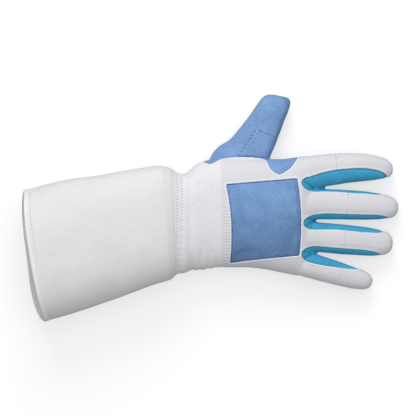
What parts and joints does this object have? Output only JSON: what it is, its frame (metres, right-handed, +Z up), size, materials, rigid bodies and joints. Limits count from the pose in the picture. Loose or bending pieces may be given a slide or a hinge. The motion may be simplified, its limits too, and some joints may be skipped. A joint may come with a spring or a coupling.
{
  "type": "fencing glove",
  "caption": "Right-hand fencing glove with a long flared cuff, a suede palm, thumb and back patch, and stretch side walls between the fingers",
  "frame": {"origin": "middle of the bounding box's underside, where the glove rests palm down", "axes": "+X from the cuff to the fingertips, +Y to the thumb's side, +Z up out of the back of the hand"},
  "size_m": [0.3586, 0.2142, 0.0808],
  "materials": {
    "cuff": "stiff matt white suede cloth over a padded lining",
    "rim_binding": "white turned edge with one row of stitches",
    "wrist_band": "white band with two rows of stitches",
    "wrist_sleeve": "matt white suede cloth, slightly gathered",
    "back_panel": "matt white suede cloth, turned under at its seams",
    "back_patch": "mid-blue suede over thin padding",
    "index_tip_back": "matt white suede cloth, turned under at its seams",
    "middle_tip_back": "matt white suede cloth, turned under at its seams",
    "ring_tip_back": "matt white suede cloth, turned under at its seams",
    "little_tip_back": "matt white suede cloth, turned under at its seams",
    "fourchette_index_middle": "turquoise stretch knit",
    "fourchette_middle_ring": "turquoise stretch knit",
    "fourchette_ring_little": "turquoise stretch knit",
    "web_gusset": "mid-blue suede",
    "palm": "mid-blue suede",
    "thumb_back": "mid-blue suede",
    "thumb_palm": "mid-blue suede",
    "thumb_patch": "mid-blue suede with double rows of light blue stitches"
  },
  "bodies": {
    "root": {"cuff": "cuff", "rim_binding": "rim_binding", "wrist_band": "wrist_band", "wrist_sleeve": "wrist_sleeve", "back_panel": "back_panel", "back_patch": "back_patch", "index_tip_back": "index_tip_back", "middle_tip_back": "middle_tip_back", "ring_tip_back": "ring_tip_back", "little_tip_back": "little_tip_back", "fourchette_index_middle": "fourchette_index_middle", "fourchette_middle_ring": "fourchette_middle_ring", "fourchette_ring_little": "fourchette_ring_little", "web_gusset": "web_gusset", "palm": "palm", "thumb_back": "thumb_back", "thumb_palm": "thumb_palm", "thumb_patch": "thumb_patch"}
  },
  "joints": []
}
